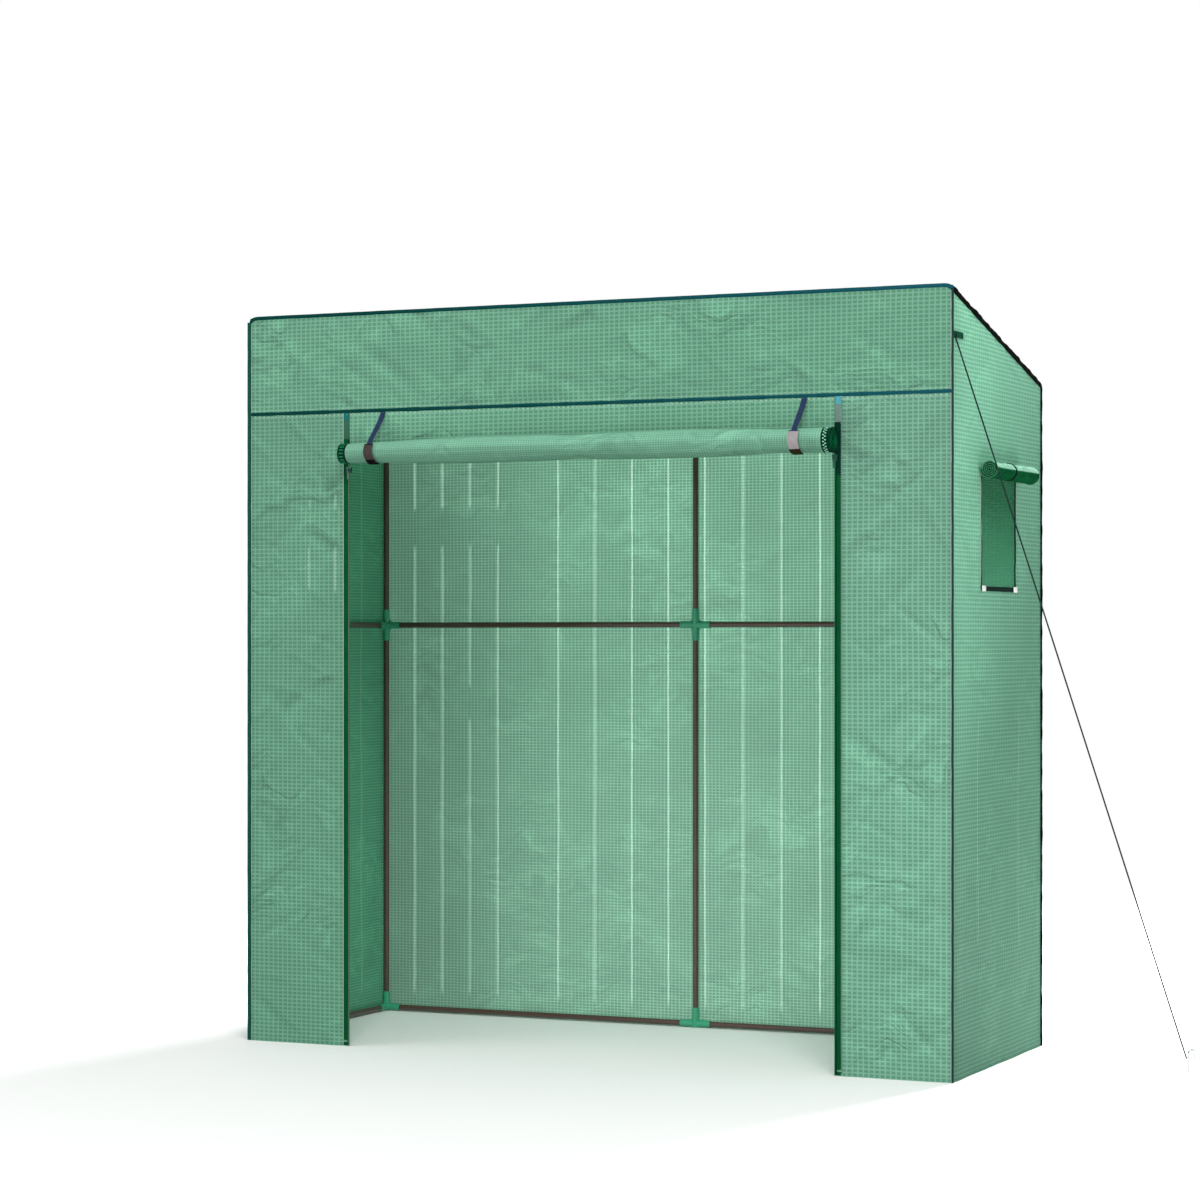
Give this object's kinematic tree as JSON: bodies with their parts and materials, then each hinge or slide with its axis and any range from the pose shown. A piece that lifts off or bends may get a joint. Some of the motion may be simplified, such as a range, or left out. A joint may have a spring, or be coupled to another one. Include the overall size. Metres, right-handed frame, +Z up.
{
  "type": "walk-in lean-to greenhouse",
  "caption": "Walk-in greenhouse: push-fit tube frame under a mint woven-film cover with a sloping roof, a roll-up zip door, screened side windows and a guy rope.",
  "frame": {"origin": "middle of the footprint on the ground, the rolled door included", "axes": "+X to the right and +Y to the rear as seen from in front of the door, +Z up"},
  "size_m": [2.5529, 0.8414, 1.9735],
  "materials": {
    "cover_film": "woven film with a fine grid, semi-gloss",
    "piping": "dark woven piping",
    "tube": "gloss powder coat",
    "connector": "moulded, satin",
    "zip_tape": "woven tape with a moulded coil",
    "zip_metal": "painted die casting",
    "strap": "flat webbing",
    "screen": "open insect mesh",
    "binding": "folded binding tape",
    "hook_and_loop": "hook-and-loop tape",
    "rope": "braided cord",
    "peg_steel": "galvanised wire"
  },
  "bodies": {
    "root": {"post_front_left": "tube", "post_front_right": "tube", "post_rear_left": "tube", "post_rear_mid": "tube", "post_rear_right": "tube", "rafter_left": "tube", "rafter_mid": "tube", "rafter_right": "tube", "rail_front_top": "tube", "rail_rear_top": "tube", "rail_rear_mid": "tube", "rail_rear_ground": "tube", "rail_side_mid": "tube", "rail_side_ground": "tube", "joint_front_top_left": "connector", "joint_front_top_mid": "connector", "joint_front_top_right": "connector", "joint_rear_top_left": "connector", "joint_rear_top_mid": "connector", "joint_rear_top_right": "connector", "joint_rear_mid_left": "connector", "joint_rear_mid_mid": "connector", "joint_rear_mid_right": "connector", "joint_front_mid_left": "connector", "joint_front_mid_right": "connector", "foot_rear_left": "connector", "foot_rear_mid": "connector", "foot_rear_right": "connector", "foot_front_left": "connector", "foot_front_right": "connector", "cover_header": "cover_film", "cover_wing_left": "cover_film", "cover_wing_right": "cover_film", "cover_side_left": "cover_film", "cover_side_right": "cover_film", "cover_rear": "cover_film", "cover_roof": "cover_film", "cover_piping": "piping", "zip_tapes": "zip_tape", "door_straps": "strap", "guy_tabs": "binding", "guy_rope": "rope", "guy_peg": "peg_steel", "window_binding": "binding", "window_loop_tabs": "hook_and_loop", "window_screen_left": "screen", "window_tie_left": "binding", "window_screen_right": "screen", "window_tie_right": "binding"},
    "door_curtain": {"door_curtain": "cover_film"},
    "door_roll": {"door_roll": "cover_film"},
    "zip_slider_left": {"zip_slider_left": "zip_metal"},
    "zip_pull_left": {"zip_pull_left": "zip_metal"},
    "window_flap_left": {"window_flap_left": "cover_film"},
    "window_roll_left": {"window_roll_left": "cover_film"},
    "zip_slider_right": {"zip_slider_right": "zip_metal"},
    "zip_pull_right": {"zip_pull_right": "zip_metal"},
    "window_flap_right": {"window_flap_right": "cover_film"},
    "window_roll_right": {"window_roll_right": "cover_film"}
  },
  "joints": [
    {"name": "door_drop", "type": "slide", "parent": "root", "child": "door_curtain", "axis": [0, 0, -1], "range_m": [0, 1.52], "deforming": ["door_curtain", "door_straps"]},
    {"name": "door_roll_spin", "type": "hinge", "parent": "door_curtain", "child": "door_roll", "pos_m": [0, -0.38615, 1.595], "axis": [1, 0, 0], "range_deg": [0, 2525]},
    {"name": "zip_left_travel", "type": "slide", "parent": "root", "child": "zip_slider_left", "axis": [0, 0, -1], "range_m": [0, 1.52]},
    {"name": "zip_left_pull", "type": "hinge", "parent": "zip_slider_left", "child": "zip_pull_left", "pos_m": [-0.6935, -0.35915, 1.55], "axis": [-1, 0, 0], "range_deg": [0, 165]},
    {"name": "window_left_drop", "type": "slide", "parent": "root", "child": "window_flap_left", "axis": [0, 0, -1], "range_m": [0, 0.283], "deforming": ["window_flap_left", "window_tie_left"]},
    {"name": "window_left_roll_spin", "type": "hinge", "parent": "window_flap_left", "child": "window_roll_left", "pos_m": [-1.0268, 0.03215, 1.527], "axis": [0, -1, 0], "range_deg": [0, 725]},
    {"name": "zip_right_travel", "type": "slide", "parent": "root", "child": "zip_slider_right", "axis": [0, 0, -1], "range_m": [0, 1.52]},
    {"name": "zip_right_pull", "type": "hinge", "parent": "zip_slider_right", "child": "zip_pull_right", "pos_m": [0.6935, -0.35915, 1.55], "axis": [-1, 0, 0], "range_deg": [0, 165]},
    {"name": "window_right_drop", "type": "slide", "parent": "root", "child": "window_flap_right", "axis": [0, 0, -1], "range_m": [0, 0.283], "deforming": ["window_flap_right", "window_tie_right"]},
    {"name": "window_right_roll_spin", "type": "hinge", "parent": "window_flap_right", "child": "window_roll_right", "pos_m": [1.0268, 0.03215, 1.527], "axis": [0, 1, 0], "range_deg": [0, 725]}
  ],
  "couplings": [
    {"joint": "door_roll_spin", "follows": "door_drop", "rad_per_m": 28.936},
    {"joint": "zip_left_travel", "follows": "door_drop", "ratio": 1},
    {"joint": "window_left_roll_spin", "follows": "window_left_drop", "rad_per_m": 44.404},
    {"joint": "zip_right_travel", "follows": "door_drop", "ratio": 1},
    {"joint": "window_right_roll_spin", "follows": "window_right_drop", "rad_per_m": 44.404}
  ]
}
